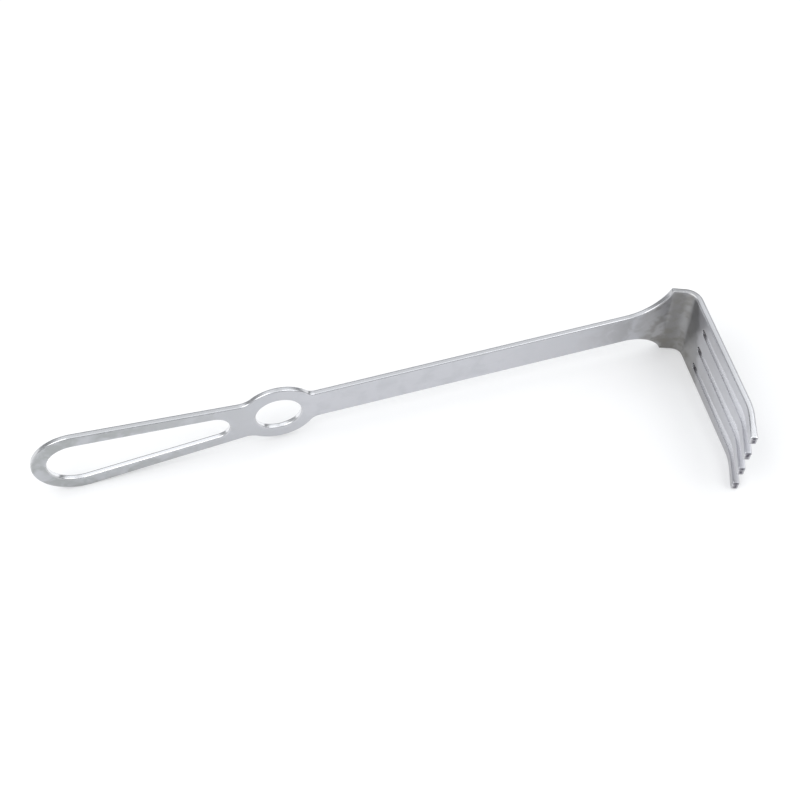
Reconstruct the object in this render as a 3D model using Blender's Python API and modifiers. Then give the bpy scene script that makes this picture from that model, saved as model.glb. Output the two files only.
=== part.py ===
"""Rake retractor: a flat steel handle with a slotted grip and a finger ring, and a bent rake of four prongs.

Both pieces are drawn from the welded joint between them, which is at X = 0. The handle runs along -X
with its width along Z, and the rake turns off it towards -Y. The retractor is then laid on its side
edge, as on a tray, with the tray at Z = 0 and the middle of its box at X = 0, Y = 0.
"""
from math import asin, atan2, ceil, cos, hypot, pi, radians, sin, sqrt

import bmesh
import bpy
from mathutils import Matrix, Vector

# Handle, measured from the joint
HANDLE_LENGTH = 0.2411
HANDLE_THICKNESS = 0.0022
SHANK_WIDTH = 0.0142
FLARE_RADIUS = 0.0182

# Grip: a tapered loop that ends in a round bow
GRIP_END_DIAMETER = 0.0322
GRIP_NECK_WIDTH = 0.0167
GRIP_RIM_WIDTH = 0.0055
GRIP_SLOT_NARROW_DIAMETER = 0.0121

# Finger ring
RING_TO_GRIP_END = 0.0899
RING_OUTER_DIAMETER = 0.0288
RING_HOLE_DIAMETER = 0.0170
RING_WEB = 0.0097
RING_GRIP_FILLET = 0.0063
RING_SHANK_FILLET = 0.0040

# Rake: a leg that kinks off the handle, a bend, the slotted blade and the curled prong tips
RAKE_WIDTH = 0.0354
RAKE_THICKNESS = 0.0026
LEG_ANGLE = radians(19.2)
LEG_LENGTH = 0.0046
BEND_INNER_RADIUS = 0.0042
BLADE_ANGLE = radians(91.9)
CURL_START = 0.0534
CURL_ANGLE = radians(16.8)
CURL_INNER_RADIUS = 0.0200
PRONG_TIP_LENGTH = 0.0094
PRONG_CORNER_RADIUS = 0.0008

# Slots between the prongs
SLOT_COUNT = 3
SLOT_PITCH = 0.01055
SLOT_HEAD_DIAMETER = 0.0030
SLOT_HEAD_DEPTH = 0.0184
PRONG_GAP_AT_TIP = 0.0062

# Edges and fits
EDGE_RADIUS = 0.00035
SEAM_GAP = 0.0003
CUTTER_MARGIN = 0.0050

# Fineness of the curves
ARC_STEP = radians(9.0)
EDGE_SEGMENTS = 2
CORNER_SEGMENTS = 4
SHARP_ANGLE = radians(35.0)
FLAT_ANGLE = radians(0.2)
MERGE_DISTANCE = 0.000001
ON_PLANE = 0.00002

PART_NAME = "rake_retractor"

# Distances from the joint
RING_CENTRE = HANDLE_LENGTH - RING_TO_GRIP_END
GRIP_END_RADIUS = GRIP_END_DIAMETER / 2
GRIP_END_CENTRE = HANDLE_LENGTH - GRIP_END_RADIUS


def remove_everything():
    for old in list(bpy.data.objects):
        bpy.data.objects.remove(old, do_unlink=True)


def new_collection(name):
    group = bpy.data.collections.new(name)
    bpy.context.scene.collection.children.link(group)
    return group


def steel(name, colour, roughness):
    material = bpy.data.materials.new(name)
    material.use_nodes = True
    shader = material.node_tree.nodes["Principled BSDF"]
    shader.inputs["Base Color"].default_value = (*colour, 1.0)
    shader.inputs["Metallic"].default_value = 1.0
    shader.inputs["Roughness"].default_value = roughness
    return material


def arc(centre, radius, start, end):
    """Points of a circular arc, both ends included, no further apart than ARC_STEP."""
    steps = max(2, ceil(abs(end - start) / ARC_STEP))
    angles = [start + (end - start) * i / steps for i in range(steps + 1)]
    return [(centre[0] + radius * cos(a), centre[1] + radius * sin(a)) for a in angles]


def tangent_angle(point, centre, radius):
    """Heading of the line from a point that grazes a circle on the circle's left."""
    away = (centre[0] - point[0], centre[1] - point[1])
    return atan2(away[1], away[0]) + asin(radius / hypot(*away))


def fillet(line_point, heading, centre, radius, fillet_radius, side):
    """Fillet in the hollow between a straight edge and a circle beyond it.

    Returns its centre and the angle, seen from there, of the edge and of the circle. The side is 1
    where the fillet lies further along the heading than the circle, and -1 where it lies before it.
    """
    along = Vector((cos(heading), sin(heading)))
    across = Vector((-sin(heading), cos(heading)))
    start = Vector(line_point) + across * fillet_radius - Vector(centre)
    reach = radius + fillet_radius
    middle = -start.dot(along)
    spread = sqrt(middle ** 2 - start.length_squared + reach ** 2)
    from_circle = start + along * (middle + side * spread)
    fillet_centre = Vector(centre) + from_circle
    return fillet_centre, heading - pi / 2, atan2(-from_circle.y, -from_circle.x)


def handle_edge():
    """Upper edge of the handle, from the rake to the end of the grip, as distance and half width."""
    shank = SHANK_WIDTH / 2
    drop = shank + FLARE_RADIUS - RAKE_WIDTH / 2
    flare_centre = (SEAM_GAP + sqrt(FLARE_RADIUS ** 2 - drop ** 2), shank + FLARE_RADIUS)
    corner = atan2(-drop, SEAM_GAP - flare_centre[0]) % (2 * pi)
    points = arc(flare_centre, FLARE_RADIUS, corner, 1.5 * pi)

    ring = (RING_CENTRE, 0.0)
    ring_radius = RING_OUTER_DIAMETER / 2
    near, near_edge, near_ring = fillet((0.0, shank), 0.0, ring, ring_radius, RING_SHANK_FILLET, -1)
    points += arc(near, RING_SHANK_FILLET, near_edge, near_ring)

    neck = (RING_CENTRE, GRIP_NECK_WIDTH / 2)
    bow = (GRIP_END_CENTRE, 0.0)
    slant = tangent_angle(neck, bow, GRIP_END_RADIUS)
    far, far_edge, far_ring = fillet(neck, slant, ring, ring_radius, RING_GRIP_FILLET, 1)
    points += arc(ring, ring_radius, near_ring + pi, far_ring + pi)[1:]
    points += arc(far, RING_GRIP_FILLET, far_ring, far_edge)[1:]
    points += arc(bow, GRIP_END_RADIUS, slant + pi / 2, 0.0)
    return points


def grip_slot_edge():
    """Upper edge of the opening in the grip, from its narrow end to its wide end."""
    wide = GRIP_END_RADIUS - GRIP_RIM_WIDTH
    narrow = GRIP_SLOT_NARROW_DIAMETER / 2
    narrow_centre = RING_CENTRE + RING_HOLE_DIAMETER / 2 + RING_WEB + narrow
    lean = asin((wide - narrow) / (GRIP_END_CENTRE - narrow_centre))
    side = pi / 2 + lean
    return arc((narrow_centre, 0.0), narrow, pi, side) + arc((GRIP_END_CENTRE, 0.0), wide, side, 0.0)


def both_sides(edge):
    """Closed outline from its upper edge, mirrored across the handle's middle line, with +X to the rake."""
    lower = [(x, -y) for x, y in reversed(edge) if abs(y) > MERGE_DISTANCE]
    return [(-x, y) for x, y in edge + lower]


def rake_faces():
    """Inner and outer face of the rake in the XY plane, from the joint to the prong tips."""
    leg = Vector((cos(LEG_ANGLE), -sin(LEG_ANGLE)))
    inward = Vector((leg.y, -leg.x))
    bend_centre = leg * LEG_LENGTH + inward * (BEND_INNER_RADIUS + RAKE_THICKNESS)
    inner = [Vector((0.0, -HANDLE_THICKNESS))]
    outer = [Vector((0.0, 0.0))]
    for ray in turning_rays(-inward, LEG_ANGLE - BLADE_ANGLE):
        inner.append(bend_centre + ray * BEND_INNER_RADIUS)
        outer.append(bend_centre + ray * (BEND_INNER_RADIUS + RAKE_THICKNESS))

    down = Vector((cos(BLADE_ANGLE), -sin(BLADE_ANGLE)))
    inward = Vector((down.y, -down.x))
    straight = (CURL_START + inner[-1].y) / -down.y
    curl_centre = inner[-1] + down * straight + inward * CURL_INNER_RADIUS
    for ray in turning_rays(-inward, -CURL_ANGLE):
        inner.append(curl_centre + ray * CURL_INNER_RADIUS)
        outer.append(curl_centre + ray * (CURL_INNER_RADIUS + RAKE_THICKNESS))
    tip = Vector((cos(BLADE_ANGLE + CURL_ANGLE), -sin(BLADE_ANGLE + CURL_ANGLE))) * PRONG_TIP_LENGTH
    inner.append(inner[-1] + tip)
    outer.append(outer[-1] + tip)
    return inner, outer


def turning_rays(first, turn):
    """Unit vectors from a first one through a turn, no further apart than ARC_STEP."""
    steps = ceil(abs(turn) / ARC_STEP)
    return [Matrix.Rotation(turn * i / steps, 2) @ first for i in range(steps + 1)]


def rake_reach():
    """How far the prongs reach from the handle's outer face, and how far the rake stands off the joint."""
    inner, outer = rake_faces()
    return -min(point.y for point in inner + outer), max(point.x for point in outer)


def slot_outline():
    """One slot between prongs: a drilled round head that widens to the gap between the prong tips.

    The sides graze the head and pass the prong tips. The outline runs on beyond the tips.
    """
    head = (-SLOT_HEAD_DEPTH, 0.0)
    head_radius = SLOT_HEAD_DIAMETER / 2
    tip = (-rake_reach()[0], PRONG_GAP_AT_TIP / 2)
    heading = tangent_angle(tip, head, head_radius)
    end = (tip[0] - CUTTER_MARGIN * cos(heading), tip[1] - CUTTER_MARGIN * sin(heading))
    top = arc(head, head_radius, 0.0, heading + pi / 2) + [end]
    return top + [(x, -y) for x, y in reversed(top[1:])]


def flat_shape(name, outlines, half_depth):
    """Mesh of flat outlines, the first one solid and the rest holes, thickened both ways."""
    curve = bpy.data.curves.new(name, "CURVE")
    curve.dimensions = "2D"
    curve.fill_mode = "BOTH"
    curve.extrude = half_depth
    for outline in outlines:
        spline = curve.splines.new("POLY")
        spline.points.add(len(outline) - 1)
        for point, (x, y) in zip(spline.points, outline):
            point.co = (x, y, 0.0, 1.0)
        spline.use_cyclic_u = True
    flat = bpy.data.objects.new(name + "_outline", curve)
    bpy.context.scene.collection.objects.link(flat)
    mesh = evaluated_mesh(flat)
    mesh.name = name
    bpy.data.objects.remove(flat)
    bpy.data.curves.remove(curve)
    return mesh


def evaluated_mesh(source):
    """Mesh of an object as it stands after its modifiers, welded, with its flat faces joined up."""
    bpy.context.view_layer.update()
    mesh = bpy.data.meshes.new_from_object(source.evaluated_get(bpy.context.evaluated_depsgraph_get()))
    work = bmesh.new()
    work.from_mesh(mesh)
    bmesh.ops.remove_doubles(work, verts=work.verts, dist=MERGE_DISTANCE)
    bmesh.ops.dissolve_limit(work, angle_limit=FLAT_ANGLE, verts=work.verts, edges=work.edges)
    bmesh.ops.recalc_face_normals(work, faces=work.faces)
    work.to_mesh(mesh)
    work.free()
    return mesh


def place(name, mesh, group, material=None):
    piece = bpy.data.objects.new(name, mesh)
    group.objects.link(piece)
    if material:
        mesh.materials.clear()
        mesh.materials.append(material)
    return piece


def round_prong_corners(mesh):
    """Rounds the corners of the prong ends, seen from the rake's face."""
    inner, outer = rake_faces()
    end = Vector((*inner[-1], 0.0))
    normal = Vector((outer[-1].y - end.y, end.x - outer[-1].x, 0.0)).normalized()
    work = bmesh.new()
    work.from_mesh(mesh)
    on_end = {v for v in work.verts if abs((v.co - end).dot(normal)) < ON_PLANE}
    across = [e for e in work.edges if on_end.issuperset(e.verts)]
    corners = [e for e in across if abs(e.verts[0].co.z - e.verts[1].co.z) < ON_PLANE]
    bmesh.ops.bevel(
        work,
        geom=corners,
        offset=PRONG_CORNER_RADIUS,
        segments=CORNER_SEGMENTS,
        profile=0.5,
        affect="EDGES",
    )
    work.to_mesh(mesh)
    work.free()


def round_edges(piece, seam):
    """Rounds every sharp edge of a piece but those of the welded face, which lies at X = seam."""
    mesh = piece.data
    work = bmesh.new()
    work.from_mesh(mesh)
    weight = work.edges.layers.float.new("bevel_weight_edge")
    for edge in work.edges:
        sharp = edge.calc_face_angle(0.0) > SHARP_ANGLE
        welded = all(abs(v.co.x - seam) < ON_PLANE for v in edge.verts)
        edge[weight] = 1.0 if sharp and not welded else 0.0
    work.to_mesh(mesh)
    work.free()
    bevel = piece.modifiers.new("rounded_edges", "BEVEL")
    bevel.limit_method = "WEIGHT"
    bevel.width = EDGE_RADIUS
    bevel.segments = EDGE_SEGMENTS
    bevel.use_clamp_overlap = True
    mesh.shade_smooth()
    mesh.set_sharp_from_angle(angle=SHARP_ANGLE)


def make_handle(group):
    """The handle, one flat stamping: flare, shank, finger ring and slotted grip."""
    ring_hole = arc((RING_CENTRE, 0.0), RING_HOLE_DIAMETER / 2, pi, 0.0)
    outlines = [both_sides(edge) for edge in (handle_edge(), ring_hole, grip_slot_edge())]
    mesh = flat_shape("handle", outlines, HANDLE_THICKNESS / 2)
    upright = place("handle", mesh, group, steel("handle_steel", (0.60, 0.60, 0.64), 0.28))
    upright.rotation_euler = (pi / 2, 0.0, 0.0)
    upright.location = (0.0, -HANDLE_THICKNESS / 2, 0.0)
    round_edges(upright, -SEAM_GAP)
    return upright


def make_rake(group, cutters):
    """The rake, a plate bent square to the handle, slotted into four prongs whose tips curl inwards."""
    inner, outer = rake_faces()
    profile = [tuple(point) for point in inner + outer[::-1]]
    rake = place("rake", flat_shape("rake", [profile], RAKE_WIDTH / 2), group)
    slot_mesh = flat_shape("slot", [slot_outline()], rake_reach()[1] + CUTTER_MARGIN)
    for i in range(SLOT_COUNT):
        cutter = place(f"slot_cutter_{i + 1}", slot_mesh, cutters)
        cutter.rotation_euler = (pi / 2, 0.0, pi / 2)
        cutter.location = (0.0, 0.0, SLOT_PITCH * (i - (SLOT_COUNT - 1) / 2))
        cutter.hide_render = True
        cutter.display_type = "WIRE"
        cut = rake.modifiers.new(cutter.name, "BOOLEAN")
        cut.operation = "DIFFERENCE"
        cut.solver = "EXACT"
        cut.object = cutter
    slotted = evaluated_mesh(rake)
    slotted.name = "rake_slotted"
    rake.modifiers.clear()
    rake.data = slotted
    slotted.materials.clear()
    slotted.materials.append(steel("rake_steel", (0.58, 0.58, 0.62), 0.30))
    round_prong_corners(slotted)
    round_edges(rake, 0.0)
    return rake


def lay_down(pieces, group):
    """Lays the retractor on its side edge: the corner of the flare and the bow of the grip touch the tray."""
    across = GRIP_END_CENTRE - SEAM_GAP
    half_width = RAKE_WIDTH / 2
    lean = atan2(half_width, across) - asin(GRIP_END_RADIUS / hypot(across, half_width))
    reach, right = rake_reach()
    rest = bpy.data.objects.new("rest", None)
    group.objects.link(rest)
    rest.rotation_euler = (0.0, -lean, 0.0)
    rest.location.x = (HANDLE_LENGTH - right) / 2
    rest.location.y = reach / 2
    rest.location.z = SEAM_GAP * sin(lean) + half_width * cos(lean)
    for piece in pieces:
        piece.parent = rest


def main():
    remove_everything()
    group = new_collection(PART_NAME)
    cutters = new_collection(PART_NAME + "_cutters")
    lay_down([make_handle(group), make_rake(group, cutters)], group)


main()
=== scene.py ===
"""Looks of a rake retractor: a satin steel handle and a slotted steel rake, lying on a pale studio floor.

Both pieces are drawn flat, as plates are cut, in the coordinates s and z: s runs along the outer
face of the plate from the welded joint, negative on the handle and positive on the rake, and z runs
across its width. The plates are then bent along one line, which kinks at the joint, turns at the
bend and curls at the prong tips, and the retractor is laid on its side edge. Lengths are in metres.
"""

import bmesh
import bpy
import numpy as np
from bpy.props import FloatProperty, FloatVectorProperty, PointerProperty
from mathutils import Euler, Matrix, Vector


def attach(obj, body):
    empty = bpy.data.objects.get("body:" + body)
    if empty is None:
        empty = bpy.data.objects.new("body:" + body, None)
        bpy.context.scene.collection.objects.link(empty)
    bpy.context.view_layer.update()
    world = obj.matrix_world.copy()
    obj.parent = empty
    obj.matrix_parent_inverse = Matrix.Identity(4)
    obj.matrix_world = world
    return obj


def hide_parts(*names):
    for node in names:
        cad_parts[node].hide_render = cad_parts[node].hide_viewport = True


bl_info = {
    "name": "Rake Retractor",
    "version": (1, 0, 0),
    "blender": (4, 5, 0),
    "location": "View3D > Sidebar > Retractor",
    "description": "Builds and dresses a hand-held rake retractor in satin steel",
    "category": "Object",
}

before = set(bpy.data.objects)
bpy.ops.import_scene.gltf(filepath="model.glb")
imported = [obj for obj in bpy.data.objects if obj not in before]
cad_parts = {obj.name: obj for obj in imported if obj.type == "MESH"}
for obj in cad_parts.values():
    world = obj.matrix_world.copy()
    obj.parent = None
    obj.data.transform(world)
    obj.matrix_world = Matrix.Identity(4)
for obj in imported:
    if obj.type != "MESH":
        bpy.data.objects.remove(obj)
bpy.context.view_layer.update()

# Fineness of the plates' surfaces
ARC_STEP = np.radians(2.0)
FEWEST_ARC_STEPS = 4
STRAIGHT_STEP = 0.0015
STATION_DECIMALS = 7
ROUND_SEGMENTS = 5
WALL_COLUMNS = 6
FACE_COLUMNS = 4
HALF_KINK_ROWS = 6
KINK_ROWS = 13
BEND_ROWS = 31
CURL_ROWS = 13
BEND_SAMPLES = 20000
MERGE_DISTANCE = 2e-7
SHARP_ANGLE = np.radians(40.0)

# Runs from the joint and from the prongs' ends over which the edge rounding grows
JOINT_RUN = 0.0015
TUMBLED_RUN = 0.006

# Marks that the plates carry for their steel
MARKS = ("from_weld", "edge", "recess", "cut_end")
MARK_DEPTH = 0.0009
# The slot heads are darkened up to these shares of a head's diameter past them: painted shade in the drilled
# heads, with some dirt.
SOOT_AND_SHADE_START = 0.40
SOOT_AND_SHADE_END = 0.75
# The slot walls take the sawn ends' dark colour, more towards the tips: painted shade between the prongs.
SLOT_WALL_PAINTED_SHADE = 0.18
# The handle's hole edges are marked past 1: they are polished, and their walls take the bright edge colour
# as a painted highlight.
HOLE_POLISH_AND_HIGHLIGHT = 1.5

# Patterns in the steel, by how many go to a millimetre
MILLIMETRES = 1000.0
GRAIN = 5.5
BRUSHING = 2.4
BRUSHED_ALONG = 0.06
CLOUDS = 0.16
RAGGEDNESS = 0.20
STAINS = 0.26
SAW_MARKS = 0.9
PATCHES = (0.42, 0.68)
SAW_MARK_PATCHES = (0.40, 0.62)

# Where the steel changes along the plates, in millimetres from the weld
NEAR_WELD = (-14.0, -3.0)
PAST_LEG = (12.0, 20.0)
WELD_START = (-12.0, -2.0)
WELD_END = (2.0, 12.0)
# Between these distances the colour changes slant with height, among them the painted shade at the bend.
BEND_START = (8.0, 13.0)
BEND_END = (26.0, 36.0)
BLADE_BRUSHING = (8.0, 16.0)
# Where the edges blend into the bright edge colour, a painted highlight that grows towards the prong tips.
PAINTED_HIGHLIGHT_TO_TIPS = (30.0, 70.0)
RAGGED_REACH = 10.0
MIDDLE_HEIGHT = 17.2
BEND_SLANT = 0.36

# Shares of the steel's finishes
CALM_WELD = 0.7
CLOUD_SHARE = 0.8
STAIN_SHARE = 0.55
# Painted shade low down, near the weld and on the blade, where the lower steel mirrors the shadowed floor.
LOW_WELD_PAINTED_SHADE = 0.35
LOW_BLADE_PAINTED_SHADE = 0.28
POLISH_SHARE = 0.8
WELD_POLISH_LOSS = 0.4
SAWN_SHARE = 0.75
BRUSHING_SHADE = 0.12
CLEAR_EDGES = 0.85
CALM_EDGES = 0.8
CLOUD_ROUGHNESS = 0.05
BRUSHING_ROUGHNESS = 0.10
GRAIN_RELIEF = 0.25
BRUSHING_RELIEF = 0.35
RELIEF_HEIGHT = 0.00002
RELIEF_STRENGTH = 0.22

# Directions and heights of the studio's light
NEAR_SIDE = (-0.80, -0.60, 0.0)
NEAR_RISE = (0.0, 0.6)
CEILING_RISE = (0.45, 0.88)
RIGHT_REACH = 0.5
BACKDROP_TOP = (0.05, 0.10)
GLOWS = (
    ("left_glow", (-0.20, 0.54, 0.818), 0.92),
    ("right_glow", (0.55, 0.47, 0.690), 0.90),
    ("top_glow", (0.12, 0.02, 0.993), 0.94),
)
LAMPS = (("left_lamp", (-0.68, -0.13, 1.05)), ("right_lamp", (0.80, -0.15, 0.98)))

# Camera: its sensor's width in millimetres and the nearest distance that it sees
SENSOR_WIDTH = 36.0
NEAREST_SIGHT = 0.01


def length(name, description, default):
    return FloatProperty(name=name, description=description, default=default, unit="LENGTH", precision=5)


def turn(name, description, degrees):
    return FloatProperty(name=name, description=description, default=np.radians(degrees), subtype="ANGLE")


def colour(name, description, default):
    return FloatVectorProperty(name=name, description=description, default=default, subtype="COLOR", size=3)


def amount(name, description, default):
    return FloatProperty(name=name, description=description, default=default)


class HandleSizes(bpy.types.PropertyGroup):
    length: length("Length", "From the joint to the end of the grip", 0.2411)
    thickness: length("Thickness", "Of the flat steel", 0.0022)
    shank_width: length("Shank width", "Of the straight part", 0.0142)
    flare_radius: length("Flare radius", "Of the hollow curve that widens towards the rake", 0.0182)
    flare_corner: length("Flare corner", "Radius of the corner beside the joint", 0.00060)
    bow_diameter: length("Grip bow", "Outer diameter of the grip's round end", 0.0322)
    neck_width: length("Grip neck", "Width of the grip at the finger ring", 0.0167)
    rim_width: length("Grip rim", "Width of the steel round the grip's slot", 0.0055)
    slot_diameter: length("Slot end", "Diameter of the slot's narrow end", 0.0121)
    ring_to_end: length("Ring to end", "From the ring's middle to the end of the grip", 0.0899)
    ring_outside: length("Ring outside", "Outer diameter of the finger ring", 0.0288)
    ring_hole: length("Ring hole", "Inner diameter of the finger ring", 0.0170)
    ring_web: length("Ring web", "Steel between the ring's hole and the slot", 0.0097)
    grip_fillet: length("Grip fillet", "Between the ring and the grip", 0.0063)
    shank_fillet: length("Shank fillet", "Between the ring and the shank", 0.0040)
    edge_radius: length("Edge radius", "Of the tumbled edges", 0.00060)
    joint_radius: length("Joint edge radius", "Of the edges at the joint", 0.00050)
    seam: length("Seam", "Run of full width that closes the joint", 0.0003)


class RakeSizes(bpy.types.PropertyGroup):
    width: length("Width", "Across the four prongs", 0.0354)
    thickness: length("Thickness", "Of the bent plate", 0.0026)
    leg_angle: turn("Leg angle", "Kink between the handle and the leg", 19.2)
    kink_radius: length("Kink radius", "Of the ground kink at the joint", 0.0080)
    leg_length: length("Leg length", "From the joint to the bend", 0.0046)
    bend_radius: length("Bend radius", "Inner radius of the bend", 0.0042)
    blade_angle: turn("Blade angle", "From the handle to the blade", 91.9)
    curl_start: length("Curl start", "Depth at which the prongs start to curl", 0.0534)
    curl_angle: turn("Curl angle", "Turn of the prong tips", 16.8)
    curl_radius: length("Curl radius", "Inner radius of the curl", 0.0200)
    tip_length: length("Tip length", "Straight end of a prong", 0.0094)
    tip_corner: length("Tip corner", "Radius of the corners of a prong's end", 0.0008)
    slot_pitch: length("Slot pitch", "Between neighbouring slots", 0.01055)
    head_diameter: length("Slot head", "Diameter of the drilled end of a slot", 0.0030)
    head_depth: length("Head depth", "Of the slot heads below the handle's outer face", 0.0184)
    side_radius: length("Side edge radius", "Of the edges along both sides", 0.00105)
    end_radius: length("End edge radius", "Of the edges of the prongs' ends", 0.00050)
    slot_radius: length("Slot edge radius", "Of the slots' crisper edges", 0.00010)
    tip_gap: length("Tip gap", "Between neighbouring prong tips", 0.0062)


class SteelFinish(bpy.types.PropertyGroup):
    satin: colour("Satin steel", "Colour of the blasted faces", (0.565, 0.570, 0.602))
    cloud: colour("Satin cloud", "Colour of the duller patches in the satin", (0.522, 0.530, 0.559))
    # The grip's end is darker than the satin faces.
    darker_grip: colour("Handled steel", "Colour of the grip, dulled by handling", (0.372, 0.384, 0.387))
    polished: colour("Polished edge", "Colour of the tumbled, rounded edges", (0.690, 0.692, 0.705))
    # The bright edge colour is a painted highlight, on the edges near the prong tips and on the walls of the
    # handle's holes.
    bright: colour("Bright edge", "Colour of the edges near the prong tips", (0.860, 0.862, 0.875))
    shank_end: colour("Shank end", "Colour where the shank meets the flare", (0.515, 0.518, 0.545))
    flare: colour("Ground flare", "Colour of the dulled steel before the weld", (0.372, 0.372, 0.386))
    weld_side: colour("Weld side", "Colour of the clearer steel close to the weld", (0.447, 0.447, 0.460))
    weld: colour("Weld steel", "Colour of the ground steel at the weld", (0.246, 0.244, 0.244))
    leg: colour("Leg steel", "Colour of the steel between the weld and the bend", (0.350, 0.348, 0.352))
    # The bend's dark colour is painted shade, standing in for the reflected shade of the hollow.
    bend: colour("Bend steel", "Colour of the steel in the bend", (0.295, 0.295, 0.303))
    # The blade's colour is painted shade, darkest near the bend and clearing to satin towards the prong
    # tips.
    blade: colour("Blade steel", "Colour of the blade below the bend", (0.490, 0.490, 0.515))
    # The colour of the heat stains about the weld, also used for painted shade low down.
    stain_and_shade: colour("Heat stain", "Colour of the stains about the weld", (0.215, 0.207, 0.190))
    # The slot heads' dark colour is painted shade in the drilled heads, with some dirt.
    soot_and_shade: colour("Slot soot", "Colour of the dark drilled slot heads", (0.200, 0.195, 0.200))
    # The sawn ends' colour is also laid on the slot walls as painted shade between the prongs.
    sawn: colour("Sawn end", "Colour of the rough, dark ends of the prongs", (0.082, 0.076, 0.098))
    satin_roughness: amount("Satin roughness", "Of the blasted faces", 0.33)
    edge_roughness: amount("Edge roughness", "Of the tumbled edges", 0.22)
    ground_roughness: amount("Ground roughness", "Of the steel about the weld", 0.42)


class StageSettings(bpy.types.PropertyGroup):
    floor: colour("Floor", "Colour of the floor", (0.93, 0.93, 0.93))
    sky: colour("Studio light", "Colour of the light from all round", (0.955, 0.975, 1.0))
    ceiling: amount("Ceiling light", "Strength of the light from above", 0.85)
    horizon: amount("Horizon light", "Strength of the light from low down", 0.25)
    near_light: amount("Near light", "Extra light from low down near the camera", 0.35)
    backdrop: amount("Backdrop", "Strength of the pale band above the floor's far end", 0.75)
    side_rise: amount("Side rise", "How much lower the ceiling's light reaches at the sides", 0.27)
    left_glow: amount("Left glow", "Extra light from behind on the left", 0.28)
    right_glow: amount("Right glow", "Extra light from behind on the right", 0.22)
    top_glow: amount("Top glow", "Extra light from right above", 0.70)
    left_lamp: amount("Left lamp", "Brightness of the soft lamp on the left, where a white wall is 1", 2.1)
    right_lamp: amount("Right lamp", "Brightness of the soft lamp on the right", 1.45)
    lamp_size: length("Lamp size", "Side of a soft lamp", 0.95)
    floor_lift: amount("Floor lift", "Share of plain white in the floor, as seen and as mirrored", 0.25)
    floor_size: length("Floor size", "Side of the floor", 12.0)
    focal_length: amount("Focal length", "Of the camera, in millimetres on a 36 mm sensor", 56.134)


def arc(centre, radius, start, end, hollow=False):
    """Rows of s, z and outward normal on an arc: centre + radius * (cos, sin) of evenly stepped angles.

    On a hollow arc the steel lies outside the circle, so the normal points at the centre.
    """
    steps = max(FEWEST_ARC_STEPS, int(np.ceil(abs(end - start) / ARC_STEP)))
    angles = np.linspace(start, end, steps + 1)
    ray = np.stack([np.cos(angles), np.sin(angles)], axis=1)
    return np.hstack([np.array(centre) + radius * ray, -ray if hollow else ray])


def line(start, end, normal):
    """Rows of s, z and outward normal on a straight edge, evenly spaced between its two ends."""
    start, end = np.array(start), np.array(end)
    steps = max(1, int(np.ceil(np.linalg.norm(end - start) / STRAIGHT_STEP)))
    points = start + (end - start) * np.linspace(0.0, 1.0, steps + 1)[:, None]
    return np.hstack([points, np.tile(normal, (steps + 1, 1))])


def chain(*parts):
    """One edge from parts that meet end to end; each part after the first loses its first row."""
    return np.vstack([parts[0]] + [part[1:] for part in parts[1:]])


def rounded(edge, radius):
    """The edge with a fifth number in each row, the radius to which its edges are rounded there."""
    return np.hstack([edge, np.broadcast_to(radius, len(edge))[:, None]])


def inset(edge):
    """Where a rounded edge's flat face ends: each point less its normal times its radius."""
    return edge[:, :2] - edge[:, 2:4] * edge[:, 4:]


def resample(edge, stations):
    """Rows of a rounded edge at given stations, which are values of s where its flat face ends.

    All five numbers are interpolated between the edge's rows, and the normals made unit again.
    """
    s = inset(edge)[:, 0]
    order = np.argsort(s, kind="stable")
    rows = np.stack([np.interp(stations, s[order], column[order]) for column in edge.T], axis=1)
    rows[:, 2:4] /= np.linalg.norm(rows[:, 2:4], axis=1, keepdims=True)
    return rows


def within(stations, edge):
    """The stations that lie between the two ends of a rounded edge's flat face."""
    s = inset(edge)[:, 0]
    slack = MERGE_DISTANCE / 2
    return stations[(stations >= s.min() - slack) & (stations <= s.max() + slack)]


def all_stations(edges, extra=()):
    """Every value of s at which the flat face of one of the rounded edges has a row, sorted."""
    values = [inset(edge)[:, 0] for edge in edges]
    return np.unique(np.round(np.concatenate([*values, extra]), STATION_DECIMALS))


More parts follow.
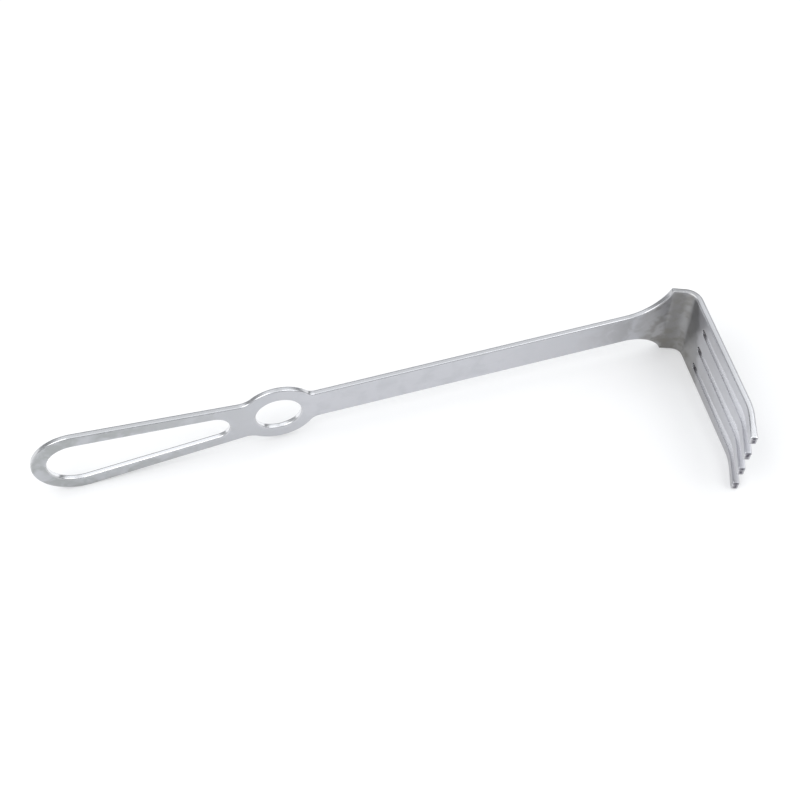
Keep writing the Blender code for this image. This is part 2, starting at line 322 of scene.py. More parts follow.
class Bend:
    """The line that the plates' outer face follows, in the plane seen from the side.

    Its heading turns evenly along each arc and stays put along each straight, and its points are the
    running sum of the heading's direction. A point at a depth under it lies that far along the
    inward normal, which is the heading turned a quarter to the right.
    """

    def __init__(self, handle, rake):
        tangent = rake.kink_radius * np.tan(rake.leg_angle / 2)
        kink = rake.kink_radius * rake.leg_angle
        outer = rake.bend_radius + rake.thickness
        bend_turn = rake.blade_angle - rake.leg_angle
        leg = rake.leg_length - tangent
        curl = (rake.curl_radius + rake.thickness) * rake.curl_angle
        down = np.sin(rake.blade_angle)
        fall = self.fall_to_blade(rake, outer)
        blade = (rake.curl_start + fall) / down
        runs = np.array([kink, leg, outer * bend_turn, blade, curl, rake.tip_length])
        turns = np.array([rake.leg_angle, 0.0, bend_turn, 0.0, rake.curl_angle, 0.0])
        self.breaks = np.concatenate([[0.0], np.cumsum(runs)]) - kink / 2
        headings = np.concatenate([[0.0], np.cumsum(turns)])
        self.end = self.breaks[-1]
        self.leg_end = self.breaks[2]
        self.s = np.linspace(self.breaks[0], self.end, BEND_SAMPLES)
        self.heading = np.interp(self.s, self.breaks, headings)
        middle = (self.heading[1:] + self.heading[:-1]) / 2
        step = self.s[1] - self.s[0]
        self.x = np.concatenate([[0.0], np.cumsum(np.cos(middle) * step)]) - tangent
        self.y = -np.concatenate([[0.0], np.cumsum(np.sin(middle) * step)])
        self.thickness = (handle.thickness, rake.thickness)

    @staticmethod
    def fall_to_blade(rake, outer):
        """Height of the inner face where the bend ends, less than zero below the outer face."""
        leg = np.array([np.cos(rake.leg_angle), -np.sin(rake.leg_angle)])
        inward = np.array([-np.sin(rake.leg_angle), -np.cos(rake.leg_angle)])
        blade_inward = np.array([-np.sin(rake.blade_angle), -np.cos(rake.blade_angle)])
        centre = leg * rake.leg_length + inward * outer
        return (centre - blade_inward * rake.bend_radius)[1]

    def thickness_at(self, s):
        """The handle's thickness, and from the joint to the bend a straight change to the rake's."""
        return np.interp(s, [0.0, self.leg_end], self.thickness)

    def place(self, s, z, depth):
        """Points in space for flat coordinates and a depth under the outer face."""
        heading = np.interp(s, self.s, self.heading)
        before = np.minimum(s - self.breaks[0], 0.0)
        x = np.interp(s, self.s, self.x) + before - np.sin(heading) * depth
        y = np.interp(s, self.s, self.y) - np.cos(heading) * depth
        return np.stack([x, y, z + 0.0 * x], axis=-1)

    def s_at_depth(self, y):
        """Where the blade's middle reaches a depth below the handle's outer face."""
        middle = self.y - np.cos(self.heading) * self.thickness[1] / 2
        return np.interp(-y, -middle, self.s)


def lay_down(points, handle, rake, bend):
    """Turns the retractor by its lean and lifts it, so that the flare and the grip's bow touch the floor.

    The lean is the slope of the line that grazes the bow and the flare's corner. The middle of the
    box comes to x = 0 and y = 0.
    """
    bow = handle.bow_diameter / 2
    across = handle.length - bow - handle.seam
    half = rake.width / 2
    lean = np.arctan2(half, across) - np.arcsin(bow / np.hypot(across, half))
    spin = np.array([[np.cos(lean), 0.0, -np.sin(lean)], [0.0, 1.0, 0.0], [np.sin(lean), 0.0, np.cos(lean)]])
    blade = bend.place(bend.s[:, None], 0.0, np.array([0.0, rake.thickness]))
    lift = [
        (handle.length - blade[..., 0].max()) / 2,
        -blade[..., 1].min() / 2,
        handle.seam * np.sin(lean) + half * np.cos(lean),
    ]
    return points @ spin.T + np.array(lift)


def tangent_heading(point, centre, radius):
    """Heading of the line from a point that grazes a circle on the circle's left."""
    away = np.array(centre) - np.array(point)
    return np.arctan2(away[1], away[0]) + np.arcsin(radius / np.linalg.norm(away))


def fillet(point, heading, centre, radius, fillet_radius, side):
    """Centre of a fillet between a straight edge and a circle, with the angles where it meets them.

    The centre lies the fillet's radius above the edge and both radii away from the circle's centre,
    found along the edge as the root of a quadratic: after the circle for side 1, before it for -1.
    """
    along = np.array([np.cos(heading), np.sin(heading)])
    across = np.array([-along[1], along[0]])
    start = np.array(point) + across * fillet_radius - np.array(centre)
    middle = -start @ along
    spread = np.sqrt(middle**2 - start @ start + (radius + fillet_radius) ** 2)
    from_circle = start + along * (middle + side * spread)
    return np.array(centre) + from_circle, heading - np.pi / 2, np.arctan2(-from_circle[1], -from_circle[0])


def handle_edge(handle, rake):
    """Upper edge of the handle, from the joint to the grip's end, as arcs and lines that flow into
    each other: corner, flare, shank, fillet, ring, fillet, grip side and bow. Distances run away
    from the joint until the last line, which turns s round."""
    shank = handle.shank_width / 2
    half = rake.width / 2
    flare = handle.flare_radius
    corner = handle.flare_corner
    flare_centre = np.array(
        [handle.seam + np.sqrt(flare**2 - (shank + flare - half) ** 2), shank + flare]
    )
    rise = flare_centre[1] - (half - corner)
    corner_centre = np.array([flare_centre[0] - np.sqrt((flare + corner) ** 2 - rise**2), half - corner])
    towards = np.arctan2(rise, flare_centre[0] - corner_centre[0])
    parts = [
        line((0.0, half), (corner_centre[0], half), (0.0, 1.0)),
        arc(corner_centre, corner, np.pi / 2, towards),
        arc(flare_centre, flare, towards + np.pi, 1.5 * np.pi, hollow=True),
    ]
    ring = np.array([handle.length - handle.ring_to_end, 0.0])
    outside = handle.ring_outside / 2
    near, near_edge, near_ring = fillet((0.0, shank), 0.0, ring, outside, handle.shank_fillet, -1)
    parts.append(line((flare_centre[0], shank), (near[0], shank), (0.0, 1.0)))
    parts.append(arc(near, handle.shank_fillet, near_edge, near_ring, hollow=True))

    neck = np.array([ring[0], handle.neck_width / 2])
    bow_radius = handle.bow_diameter / 2
    bow = np.array([handle.length - bow_radius, 0.0])
    slant = tangent_heading(neck, bow, bow_radius)
    far, far_edge, far_ring = fillet(neck, slant, ring, outside, handle.grip_fillet, 1)
    parts.append(arc(ring, outside, near_ring + np.pi, far_ring + np.pi))
    parts.append(arc(far, handle.grip_fillet, far_ring, far_edge, hollow=True))
    up = np.array([-np.sin(slant), np.cos(slant)])
    parts.append(line(far - up * handle.grip_fillet, bow + up * bow_radius, up))
    parts.append(arc(bow, bow_radius, slant + np.pi / 2, 0.0))
    return chain(*parts) * [-1.0, 1.0, -1.0, 1.0]


def ring_hole_edge(handle):
    """Upper half of the finger ring's hole."""
    centre = (handle.ring_to_end - handle.length, 0.0)
    return arc(centre, handle.ring_hole / 2, 0.0, np.pi, hollow=True)


def grip_slot_edge(handle):
    """Upper half of the grip's slot: its narrow end, a straight side that grazes both ends, its wide end."""
    wide = handle.bow_diameter / 2 - handle.rim_width
    narrow = handle.slot_diameter / 2
    wide_centre = handle.length - handle.bow_diameter / 2
    narrow_centre = handle.length - handle.ring_to_end + handle.ring_hole / 2 + handle.ring_web + narrow
    lean = np.arcsin((wide - narrow) / (wide_centre - narrow_centre))
    up = np.array([-np.sin(lean), np.cos(lean)])
    half = chain(
        arc((narrow_centre, 0.0), narrow, np.pi, np.pi / 2 + lean, hollow=True),
        line(np.array([narrow_centre, 0.0]) + up * narrow, np.array([wide_centre, 0.0]) + up * wide, -up),
        arc((wide_centre, 0.0), wide, np.pi / 2 + lean, 0.0, hollow=True),
    )
    return half * [-1.0, 1.0, -1.0, 1.0]


def slot_edge(rake, bend):
    """Upper half of a slot between prongs, about its own middle line, and the corner of the prong's end:
    a drilled head, a side that grazes the head and opens evenly to the tips, and the rounded corner."""
    head = rake.head_diameter / 2
    start = bend.s_at_depth(-rake.head_depth)
    run = bend.end - start
    mouth = rake.tip_gap / 2
    slope = np.arctan2(mouth, run) - np.arcsin(head / np.hypot(run, mouth))
    normal = np.array([np.sin(slope), -np.cos(slope)])
    graze = np.array([start, 0.0]) - normal * head
    corner = rake.tip_corner
    corner_s = bend.end - corner
    side_z = graze[1] + (corner_s - graze[0]) * np.tan(slope)
    corner_centre = np.array([corner_s, side_z + corner / np.cos(slope)])
    return chain(
        arc((start, 0.0), head, np.pi, np.pi / 2 + slope, hollow=True),
        line(graze, corner_centre + normal * corner, normal),
        arc(corner_centre, corner, slope - np.pi / 2, 0.0),
    )


def rake_side(rake, bend):
    """Outer side of the rake and the rounded corner of its prong's end, about its middle line."""
    half = rake.width / 2
    corner = rake.tip_corner
    centre = np.array([bend.end - corner, half - corner])
    return chain(
        line((0.0, half), (centre[0], half), (0.0, 1.0)),
        arc(centre, corner, np.pi / 2, 0.0),
    )


def grid_faces(rows, columns, first):
    """Corner numbers of the quads of a grid whose points are numbered row by row from the first."""
    start = first + (np.arange(rows - 1)[:, None] * columns + np.arange(columns - 1)).ravel()
    return np.stack([start, start + 1, start + columns + 1, start + columns], axis=1)


class Plate:
    """A plate's surface, gathered as grids of points, with the marks that its steel reads."""

    def __init__(self, bend):
        self.bend = bend
        self.points, self.faces, self.marks = [], [], []
        self.count = 0

    def add(self, s, z, depth, edge=0.0, recess=0.0, cut_end=0.0):
        """One grid of points in flat coordinates. Its marks are the distance from the weld, how far
        round an edge a point lies, how near a slot's head, for its painted shade, and how much of the
        sawn ends' dark colour a point takes, which on the slot walls is painted shade."""
        shape = np.broadcast_shapes(np.shape(s), np.shape(z), np.shape(depth))
        s, z, depth, *marks = (
            np.broadcast_to(values, shape) for values in (s, z, depth, edge, recess, cut_end)
        )
        self.points.append(self.bend.place(s, z, depth).reshape(-1, 3))
        self.faces.append(grid_faces(*shape, self.count))
        self.marks.append(np.stack([s, *marks], axis=-1).reshape(-1, len(MARKS)))
        self.count += shape[0] * shape[1]

    def faces_between(self, stations, low, high):
        """Both flat faces between two edges: z runs evenly from the low edge to the high one."""
        across = np.linspace(0.0, 1.0, FACE_COLUMNS + 1)
        z = low[:, None] + (high - low)[:, None] * across
        s = stations[:, None] + 0.0 * z
        for depth in (0.0 * s, self.bend.thickness_at(s)):
            self.add(s, z, depth)

    def rim(self, edge, middle=0.0, mirror=1.0, polish=1.0, recess=0.0, cut_end=0.0):
        """The rounded edge and the wall along an edge: a quarter turn, the wall and a quarter turn,
        carried along the edge on its normals. A mirrored rim lies on the other side of the middle.
        The marks for a slot's head and a sawn end grow from nothing at the edges to the wall's middle."""
        quarter = np.linspace(0.0, np.pi / 2, ROUND_SEGMENTS + 1)
        wall = np.linspace(0.0, 1.0, WALL_COLUMNS + 1)[1:-1]
        radius = edge[:, 4:]
        out = radius * np.concatenate([np.sin(quarter), np.ones_like(wall), np.cos(quarter)])
        base = inset(edge)
        s = base[:, :1] + edge[:, 2:3] * out
        z = middle + mirror * (base[:, 1:] + edge[:, 3:4] * out)
        thickness = self.bend.thickness_at(s)
        sink = 1.0 - np.cos(quarter)
        share = np.concatenate([0.0 * quarter, wall, 1.0 + 0.0 * quarter])
        start = radius * np.concatenate([sink, 1.0 + 0.0 * wall, 2.0 - sink[::-1]])
        depth = start + share * (thickness - 2.0 * radius)
        turned = np.concatenate([quarter, np.full_like(wall, np.pi / 2), quarter[::-1]]) / (np.pi / 2)
        inside = np.clip(np.minimum(depth, thickness - depth) / MARK_DEPTH, 0.0, 1.0)
        polish, recess, cut_end = (np.asarray(mark)[..., None] for mark in (polish, recess, cut_end))
        self.add(s, z, depth, turned * polish, recess * inside, cut_end * inside)

    def mesh(self, name, handle, rake):
        """One closed mesh from the grids, laid on the floor: meeting points merged, the welded end
        capped, normals outward."""
        mesh = bpy.data.meshes.new(name)
        points = lay_down(np.vstack(self.points), handle, rake, self.bend)
        mesh.from_pydata(points, [], np.vstack(self.faces))
        marks = np.vstack(self.marks).astype(np.float32)
        for column, mark in zip(marks.T, MARKS):
            attribute = mesh.attributes.new(mark, "FLOAT", "POINT")
            attribute.data.foreach_set("value", np.ascontiguousarray(column))
        work = bmesh.new()
        work.from_mesh(mesh)
        bmesh.ops.remove_doubles(work, verts=work.verts, dist=MERGE_DISTANCE)
        bmesh.ops.dissolve_degenerate(work, edges=work.edges, dist=MERGE_DISTANCE)
        bmesh.ops.holes_fill(work, edges=[edge for edge in work.edges if edge.is_boundary])
        bmesh.ops.recalc_face_normals(work, faces=work.faces)
        work.to_mesh(mesh)
        work.free()
        mesh.shade_smooth()
        mesh.set_sharp_from_angle(angle=SHARP_ANGLE)
        return mesh


def handle_plate(handle, rake, bend):
    """The handle's plate: its upper half as strips from the middle line or a hole to the edge, mirrored."""
    edge = handle_edge(handle, rake)
    reach = (JOINT_RUN, JOINT_RUN + TUMBLED_RUN)
    edge = rounded(edge, np.interp(-edge[:, 0], reach, (handle.joint_radius, handle.edge_radius)))
    holes = [rounded(hole, handle.edge_radius) for hole in (ring_hole_edge(handle), grip_slot_edge(handle))]
    kink = np.linspace(bend.breaks[0], 0.0, HALF_KINK_ROWS)
    stations = all_stations([edge, *holes], kink)
    rows = resample(edge, stations)
    low = np.zeros_like(stations)
    plate = Plate(bend)
    for hole in holes:
        inside = within(stations, hole)
        hole_rows = resample(hole, inside)
        low[np.isin(stations, inside)] = inset(hole_rows)[:, 1]
        plate.rim(hole_rows, polish=HOLE_POLISH_AND_HIGHLIGHT)
        plate.rim(hole_rows, mirror=-1.0, polish=HOLE_POLISH_AND_HIGHLIGHT)
    high = inset(rows)[:, 1]
    plate.faces_between(stations, low, high)
    plate.faces_between(stations, -low, -high)
    plate.rim(rows)
    plate.rim(rows, mirror=-1.0)
    return plate


def rake_plate(handle, rake, bend):
    """The rake's plate: four strips, one for each prong, that share their sides above the slots.

    A strip runs from the joint to the prong's end, between two slots' middle lines or a slot's and
    the rake's side, less the slot's half width once its head begins.
    """
    slot, side = slot_edge(rake, bend), rake_side(rake, bend)
    last = bend.end - rake.tip_corner
    reach = (0.0, bend.leg_end, last - TUMBLED_RUN, last)
    radii = (handle.joint_radius, rake.side_radius, rake.side_radius, rake.end_radius)
    side = rounded(side, np.interp(side[:, 0], reach, radii))
    slot = rounded(slot, np.interp(slot[:, 0], reach[2:], (rake.slot_radius, rake.end_radius)))
    turns = np.concatenate([
        np.linspace(*bend.breaks[[0, 1]], KINK_ROWS),
        np.linspace(*bend.breaks[[2, 3]], BEND_ROWS),
        np.linspace(*bend.breaks[[4, 5]], CURL_ROWS),
    ])
    stations = all_stations([slot, side], turns[turns > 0.0])
    below = within(stations, slot)
    slot_rows = resample(slot, below)
    side_rows = resample(side, stations)
    half_slot = np.zeros_like(stations)
    half_slot[np.isin(stations, below)] = inset(slot_rows)[:, 1]
    half_side = inset(side_rows)[:, 1]
    past_head = (below - below[0]) / rake.head_diameter
    clear = np.clip((past_head - SOOT_AND_SHADE_START) / (SOOT_AND_SHADE_END - SOOT_AND_SHADE_START), 0.0, 1.0)
    # Darkness in the slot heads, fading past them: painted shade, with some dirt.
    soot_and_shade = 1.0 - clear**2 * (3.0 - 2.0 * clear)
    down = np.interp(below, below[[0, -1]], (0.0, 1.0))
    slot_polish = 1.0 - down
    sawn_end_and_slot_shade = np.where(slot_rows[:, 0] > last, slot_rows[:, 2], 0.0)
    # The slot walls darken towards the tips with the sawn ends' colour: painted shade between the prongs.
    sawn_end_and_slot_shade = np.maximum(sawn_end_and_slot_shade, SLOT_WALL_PAINTED_SHADE * down**2)

    plate = Plate(bend)
    middles = np.array([-rake.slot_pitch, 0.0, rake.slot_pitch])
    lows = [-half_side] + [middle + half_slot for middle in middles]
    highs = [middle - half_slot for middle in middles] + [half_side]
    for low, high in zip(lows, highs):
        plate.faces_between(stations, low, high)
        z = np.linspace(low[-1], high[-1], FACE_COLUMNS + 1)
        ones = np.ones_like(z)
        end = rounded(np.stack([ones * bend.end, z, ones, 0.0 * z], axis=1), rake.end_radius)
        plate.rim(end, cut_end=ones)
    for mirror in (1.0, -1.0):
        plate.rim(side_rows, mirror=mirror, cut_end=side_rows[:, 2])
        for middle in middles:
            plate.rim(slot_rows, middle, mirror, slot_polish, soot_and_shade, sawn_end_and_slot_shade)
    return plate


class Socket:
    """A shader socket that takes part in sums: + - * / add Math nodes."""

    def __init__(self, shader, output):
        self.shader = shader
        self.output = output

    def maths(self, operation, first, second):
        node = self.shader.node("ShaderNodeMath", {"operation": operation}, {0: first, 1: second})
        return Socket(self.shader, node.outputs[0])

    def __add__(self, other):
        return self.maths("ADD", self, other)

    def __sub__(self, other):
        return self.maths("SUBTRACT", self, other)

    def __rsub__(self, other):
        return self.maths("SUBTRACT", other, self)

    def __mul__(self, other):
        return self.maths("MULTIPLY", self, other)

    def __truediv__(self, other):
        return self.maths("DIVIDE", self, other)

    __radd__ = __add__
    __rmul__ = __mul__


class Shader:
    """The nodes of a material or a world, each made by one method from its type, settings and inputs."""

    def __init__(self, owner):
        owner.use_nodes = True
        self.tree = owner.node_tree
        self.tree.nodes.clear()

    def node(self, kind, settings=None, inputs=None):
        """A node of one kind: its settings first, then the values or links of its sockets."""
        node = self.tree.nodes.new(kind)
        for name, value in (settings or {}).items():
            if name == "stops":
                elements = node.color_ramp.elements
                while len(elements) < len(value):
                    elements.new(1.0)
                for element, (position, stop_colour) in zip(elements, value):
                    element.position = position
                    element.color = (*stop_colour, 1.0)
            else:
                setattr(node, name, value)
        for name, value in (inputs or {}).items():
            if isinstance(value, Socket):
                self.tree.links.new(value.output, node.inputs[name])
            else:
                node.inputs[name].default_value = value
        return node

    def out(self, kind, settings=None, inputs=None, output=0):
        """One output of a new node."""
        return Socket(self, self.node(kind, settings, inputs).outputs[output])

    def mark(self, name):
        """A number that the plate carries at each point."""
        return self.out("ShaderNodeAttribute", {"attribute_name": name}, output="Fac")

    def stretched(self, vector, scale):
        """A vector times a scale for each axis."""
        return self.out("ShaderNodeVectorMath", {"operation": "MULTIPLY"}, {0: vector, 1: scale})

    def in_sight(self):
        """1 for a ray from the camera, off a mirror-like surface or through a clear one, or else 0."""
        path = self.node("ShaderNodeLightPath")
        names = ("Is Camera Ray", "Is Glossy Ray", "Is Transmission Ray")
        seen, mirrored, passed = (Socket(self, path.outputs[name]) for name in names)
        return seen + mirrored + passed

    def towards(self, ray, direction):
        """Cosine of the angle between a ray and a direction."""
        settings = {"operation": "DOT_PRODUCT"}
        return self.out("ShaderNodeVectorMath", settings, {0: ray, 1: direction}, output="Value")

    def noise(self, vector, scale, detail=2.0, roughness=0.5, distortion=0.0):
        """A cloudy pattern of values about 0.5."""
        inputs = {"Vector": vector, "Scale": scale, "Detail": detail, "Roughness": roughness}
        return self.out("ShaderNodeTexNoise", None, {**inputs, "Distortion": distortion})

    def step(self, value, low, high):
        """0 below the low value, 1 above the high one, and a soft climb between them."""
        settings = {"interpolation_type": "SMOOTHSTEP"}
        return self.out("ShaderNodeMapRange", settings, {"Value": value, "From Min": low, "From Max": high})

    def between(self, value, start, end):
        """1 between two soft climbs, given as pairs of a low and a high value, and 0 outside them."""
        return self.step(value, *start) * (1.0 - self.step(value, *end))

    def mix(self, share, first, second):
        """A colour between two, by a share from 0 to 1."""
        first, second = ((*c, 1.0) if isinstance(c, tuple) else c for c in (first, second))
        node = self.node("ShaderNodeMix", {"data_type": "RGBA"}, {"Factor": share})
        for name, value in (("A", first), ("B", second)):
            socket = next(i for i in node.inputs if i.name == name and i.type == "RGBA")
            if isinstance(value, Socket):
                self.tree.links.new(value.output, socket)
            else:
                socket.default_value = value
        return Socket(self, next(o for o in node.outputs if o.type == "RGBA"))


def finish_along(shader, from_weld, finish):
    """The steel's colour by its distance from the weld in millimetres: stops with straight blends between.

    The grip darkens towards its end. The flare darkens towards the weld, clears a little beside it and
    is darkest on it. Past the clearer leg the bend is dark again, painted shade that stands in for the
    reflected shade of the hollow, and the blade clears to the prong tips, painted shade darkest near the
    bend.
    """
    stops = [
        # The grip's end is darker.
        (-216.0, finish.darker_grip),
        (-138.0, finish.satin),
        (-75.0, finish.satin),
        (-36.0, finish.shank_end),
        (-15.0, finish.flare),
        (-6.0, finish.weld_side),
        (-1.4, finish.weld_side),
        (1.2, finish.weld),
        (3.0, finish.weld),
        (8.5, finish.leg),
        (15.5, finish.leg),
        # Painted shade: the dark bend, and the blade clearing towards the prong tips.
        (20.2, finish.bend),
        (24.5, finish.blade),
        (34.0, finish.blade),
        (52.0, finish.satin),
    ]
    start = stops[0][0]
    span = stops[-1][0] - start
    places = [((place - start) / span, tuple(stop_colour)) for place, stop_colour in stops]
    return shader.out("ShaderNodeValToRGB", {"stops": places}, {"Fac": (from_weld - start) / span})


def brushed(shader, place, from_weld):
    """Fine streaks along the plate: they run along X on the handle and along Y on the blade."""
    on_handle, on_blade = (
        shader.noise(shader.stretched(place, along), BRUSHING, detail=4.0, roughness=0.6)
        for along in ((BRUSHED_ALONG, 1.0, 1.0), (1.0, BRUSHED_ALONG, 1.0))
    )
    return on_handle + (on_blade - on_handle) * shader.step(from_weld, *BLADE_BRUSHING)


def ragged_distance(shader, place, height, from_weld):
    """Distance from the weld with a ragged, wandering error, calmer at the weld and slanting at the bend."""
    wander = (shader.noise(place, RAGGEDNESS) - 0.5) * RAGGED_REACH
    wander = wander * (1.0 - shader.between(from_weld, WELD_START, WELD_END) * CALM_WELD)
    slant = (height - MIDDLE_HEIGHT) * BEND_SLANT
    return from_weld + (wander + slant * shader.between(from_weld, BEND_START, BEND_END))


def steel(name, finish):
    """Satin steel, polished at its edges, dull and with heat stains about the weld, with painted shade in
    the slot heads, on the slot walls, low down and at the bend, and painted highlights on some edges.

    The colour starts as the finish along the plate, which holds painted shade at the bend and on the
    blade. Clouds, heat stains with painted shade low down, the polish of the edges with its painted
    highlights near the prong tips and round the handle's holes, the slot heads' painted shade with
    some dirt, the sawn ends with painted shade on the slot walls, and the brushing are then laid over
    it in turn, each by a share from 0 to 1.
    """
    material = bpy.data.materials.new(name)
    shader = Shader(material)
    position = shader.out("ShaderNodeTexCoord", output="Object")
    place = shader.stretched(position, (MILLIMETRES,) * 3)
    height = shader.out("ShaderNodeSeparateXYZ", None, {0: place}, output="Z")
    from_weld = shader.mark("from_weld") * MILLIMETRES
    edge = shader.mark("edge")
    recess = shader.mark("recess")
    cut_end = shader.mark("cut_end")

    grain = shader.noise(place, GRAIN, detail=3.0, roughness=0.65)
    brushing = brushed(shader, place, from_weld)
    clouds = shader.step(shader.noise(place, CLOUDS, detail=3.0, distortion=0.6), *PATCHES)
    stains = shader.step(shader.noise(place, STAINS), *PATCHES)
    saw_marks = shader.step(shader.noise(place, SAW_MARKS), *SAW_MARK_PATCHES)
    ragged = ragged_distance(shader, place, height, from_weld)
    near = shader.step(ragged, *NEAR_WELD)
    gone = shader.step(ragged, *PAST_LEG)
    welded = near * (1.0 - gone)
    ground = welded * (1.0 - edge * CLEAR_EDGES)
    # 1 at the floor, fading to 0 at mid-height: it lays painted shade on the lower steel.
    low = 1.0 - shader.step(height, 0.0, MIDDLE_HEIGHT)

    base = finish_along(shader, ragged, finish)
    base = shader.mix(clouds * (1.0 - near) * CLOUD_SHARE, base, tuple(finish.cloud))
    # Heat stains about the weld, plus painted shade low down near the weld and on the blade.
    stains_and_painted_shade = (stains * STAIN_SHARE + low * LOW_WELD_PAINTED_SHADE) * ground
    stains_and_painted_shade = stains_and_painted_shade + low * gone * (1.0 - edge) * LOW_BLADE_PAINTED_SHADE
    base = shader.mix(stains_and_painted_shade, base, tuple(finish.stain_and_shade))
    # Painted highlight: the bright edge colour near the prong tips and on the walls of the handle's holes.
    bright = shader.step(from_weld, *PAINTED_HIGHLIGHT_TO_TIPS) + shader.step(edge, 1.0, HOLE_POLISH_AND_HIGHLIGHT)
    polished = shader.mix(bright, tuple(finish.polished), tuple(finish.bright))
    share = POLISH_SHARE - welded * WELD_POLISH_LOSS
    base = shader.mix(edge * (1.0 - recess) * share, base, polished)
    # The dark slot heads: painted shade in the drilled heads, with some dirt.
    base = shader.mix(recess, base, tuple(finish.soot_and_shade))
    share = SAWN_SHARE + saw_marks * (1.0 - SAWN_SHARE)
    # The sawn ends' dark colour, which on the slot walls is painted shade between the prongs.
    base = shader.mix(cut_end * share, base, tuple(finish.sawn))
    base = shader.mix((0.5 - brushing) * BRUSHING_SHADE, base, (0.0, 0.0, 0.0))

    satin = finish.satin_roughness
    roughness = satin + (clouds - 0.5) * CLOUD_ROUGHNESS + (brushing - 0.5) * BRUSHING_ROUGHNESS
    roughness = roughness + (finish.ground_roughness - satin) * ground
    roughness = roughness - (satin - finish.edge_roughness) * edge * (1.0 - ground)
    relief = (grain * GRAIN_RELIEF + brushing * BRUSHING_RELIEF) * (1.0 - edge * CALM_EDGES)
    relief = relief + stains * ground
    relief = {"Strength": RELIEF_STRENGTH, "Distance": RELIEF_HEIGHT, "Height": relief}
    bump = shader.out("ShaderNodeBump", None, relief, output="Normal")
    surface = {"Base Color": base, "Metallic": 1.0, "Roughness": roughness, "Normal": bump}
    surface = shader.out("ShaderNodeBsdfPrincipled", None, surface)
    shader.node("ShaderNodeOutputMaterial", None, {"Surface": surface})
    return material


def make_piece(scene, name, cut_plate, node):
    """A finished piece: its plate bent and laid down, in steel, in place of the frame's plain node."""
    handle, rake = scene.retractor_handle, scene.retractor_rake
    bend = Bend(handle, rake)
    mesh = cut_plate(handle, rake, bend).mesh(name, handle, rake)
    mesh.materials.append(steel(f"{name}_steel", scene.retractor_finish))
    piece = bpy.data.objects.new(name, mesh)
    scene.collection.objects.link(piece)
    weighted = piece.modifiers.new("flat_faces_first", "WEIGHTED_NORMAL")
    weighted.keep_sharp = True
    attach(piece, "root")
    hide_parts(node)
    return piece


class RETRACTOR_OT_make_handle(bpy.types.Operator):
    """Make the handle with its grip, finger ring and flare"""

    bl_idname = "retractor.make_handle"
    bl_label = "Make Handle"

    def execute(self, context):
        make_piece(context.scene, "satin_handle", handle_plate, "handle")
        return {"FINISHED"}


class RETRACTOR_OT_make_rake(bpy.types.Operator):
    """Make the bent rake with its slots and curled prongs"""

    bl_idname = "retractor.make_rake"
    bl_label = "Make Rake"

    def execute(self, context):
        make_piece(context.scene, "satin_rake", rake_plate, "rake")
        return {"FINISHED"}


def floor_material(settings):
    """Matt pale floor with its shadows, a little whiter to the camera and in the steel's reflections."""
    material = bpy.data.materials.new("studio_floor")
    shader = Shader(material)
    matt = shader.out("ShaderNodeBsdfDiffuse", None, {"Color": (*settings.floor, 1.0)})
    white = shader.out("ShaderNodeEmission", None, {"Color": (1.0, 1.0, 1.0, 1.0), "Strength": 1.0})
    share = shader.in_sight() * settings.floor_lift
    surface = shader.out("ShaderNodeMixShader", None, {"Fac": share, 1: matt, 2: white})
    shader.node("ShaderNodeOutputMaterial", None, {"Surface": surface})
    return material


def studio_world(settings):
    """Soft light from all round: bright above, reaching further down at the sides and furthest on the
    right, and darker low down, less so near the camera. Wide glows lie behind the retractor and above
    it, and each grows with the cosine of the angle to its middle. A pale band shows just above the
    floor's far end."""
    world = bpy.data.worlds.new("studio")
    shader = Shader(world)
    ray = shader.out("ShaderNodeTexCoord", output="Generated")
    parts = shader.node("ShaderNodeSeparateXYZ", None, {0: ray})
    side, height = (Socket(shader, parts.outputs[name]) for name in "XZ")
    aside = side.maths("ABSOLUTE", side, 0.0) + side * RIGHT_REACH
    raised = height + aside * settings.side_rise
    near = shader.step(shader.towards(ray, NEAR_SIDE), *NEAR_RISE)
    low = settings.horizon + near * settings.near_light
    light = low + shader.step(raised, *CEILING_RISE) * (settings.ceiling - low)
    for name, middle, rim in GLOWS:
        glow = shader.step(shader.towards(ray, middle), rim, 1.0)
        light = light + glow * getattr(settings, name)
    band = shader.in_sight() * (1.0 - shader.step(height, *BACKDROP_TOP))
    light = light + (settings.backdrop - light) * band
    surface = shader.out("ShaderNodeBackground", None, {"Color": (*settings.sky, 1.0), "Strength": light})
    shader.node("ShaderNodeOutputWorld", None, {"Surface": surface})
    return world


def soft_lamp(name, place, glow, size):
    """A square area lamp that faces the retractor. Its power is its glow times pi times its area."""
    lamp = bpy.data.lights.new(name, "AREA")
    lamp.energy = glow * np.pi * size**2
    lamp.size = size
    light = bpy.data.objects.new(name, lamp)
    light.location = place
    light.rotation_euler = (-Vector(place)).to_track_quat("-Z", "Y").to_euler()
    bpy.context.scene.collection.objects.link(light)
    return light


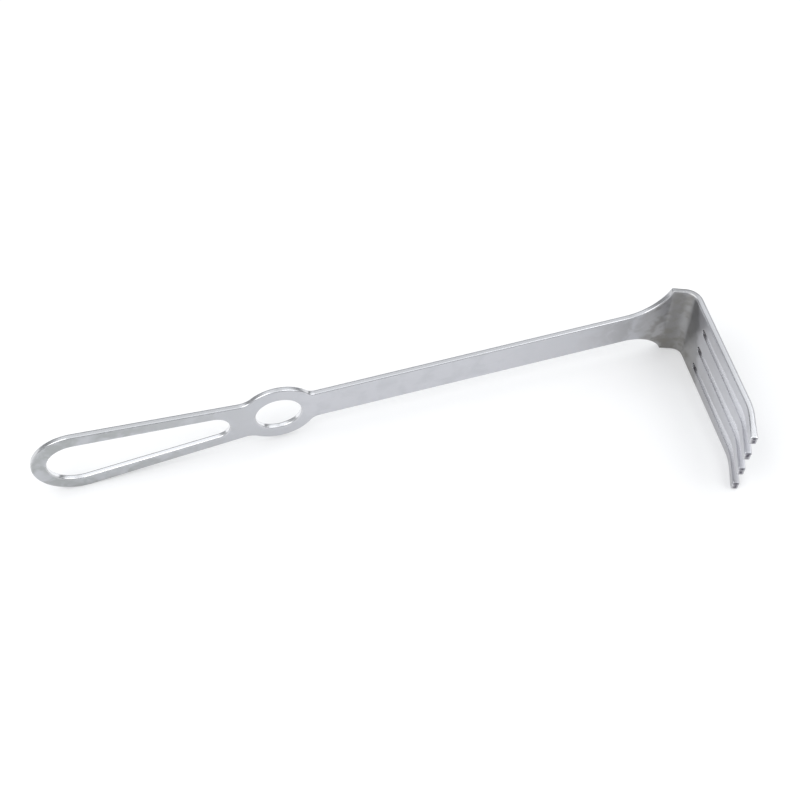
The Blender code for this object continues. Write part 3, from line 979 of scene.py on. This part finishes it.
class RETRACTOR_OT_make_stage(bpy.types.Operator):
    """Make the pale floor, the soft light and the camera"""

    bl_idname = "retractor.make_stage"
    bl_label = "Make Stage"

    camera_place = (-0.05124, -0.21695, 0.39946)
    camera_turn = (33.187, 0.932, -15.347)

    def execute(self, context):
        scene = context.scene
        settings = scene.retractor_stage
        half = settings.floor_size / 2
        mesh = bpy.data.meshes.new("floor")
        corners = [(x * half, y * half, 0.0) for x, y in ((-1, -1), (1, -1), (1, 1), (-1, 1))]
        mesh.from_pydata(corners, [], [(0, 1, 2, 3)])
        mesh.materials.append(floor_material(settings))
        floor = bpy.data.objects.new("floor", mesh)
        scene.collection.objects.link(floor)

        scene.world = studio_world(settings)
        for name, place in LAMPS:
            soft_lamp(name, place, getattr(settings, name), settings.lamp_size)

        lens = bpy.data.cameras.new("camera")
        lens.lens = settings.focal_length
        lens.sensor_width = SENSOR_WIDTH
        lens.clip_start = NEAREST_SIGHT
        camera = bpy.data.objects.new("camera", lens)
        camera.location = self.camera_place
        camera.rotation_euler = Euler(np.radians(self.camera_turn))
        scene.collection.objects.link(camera)
        scene.camera = camera
        scene.view_settings.view_transform = "Standard"
        return {"FINISHED"}


class RETRACTOR_PT_panel(bpy.types.Panel):
    """Sidebar panel that lists the retractor's operators"""

    bl_idname = "RETRACTOR_PT_panel"
    bl_label = "Rake Retractor"
    bl_space_type = "VIEW_3D"
    bl_region_type = "UI"
    bl_category = "Retractor"

    def draw(self, context):
        for operator in OPERATORS:
            self.layout.operator(operator.bl_idname)


SETTINGS = {
    "retractor_handle": HandleSizes,
    "retractor_rake": RakeSizes,
    "retractor_finish": SteelFinish,
    "retractor_stage": StageSettings,
}
OPERATORS = (RETRACTOR_OT_make_handle, RETRACTOR_OT_make_rake, RETRACTOR_OT_make_stage)


def register():
    for group in (*SETTINGS.values(), *OPERATORS, RETRACTOR_PT_panel):
        bpy.utils.register_class(group)
    for name, group in SETTINGS.items():
        setattr(bpy.types.Scene, name, PointerProperty(type=group))


def unregister():
    for name in SETTINGS:
        delattr(bpy.types.Scene, name)
    for group in reversed((*SETTINGS.values(), *OPERATORS, RETRACTOR_PT_panel)):
        bpy.utils.unregister_class(group)


def main():
    register()
    bpy.ops.retractor.make_handle()
    bpy.ops.retractor.make_rake()
    bpy.ops.retractor.make_stage()


if __name__ == "__main__":
    main()
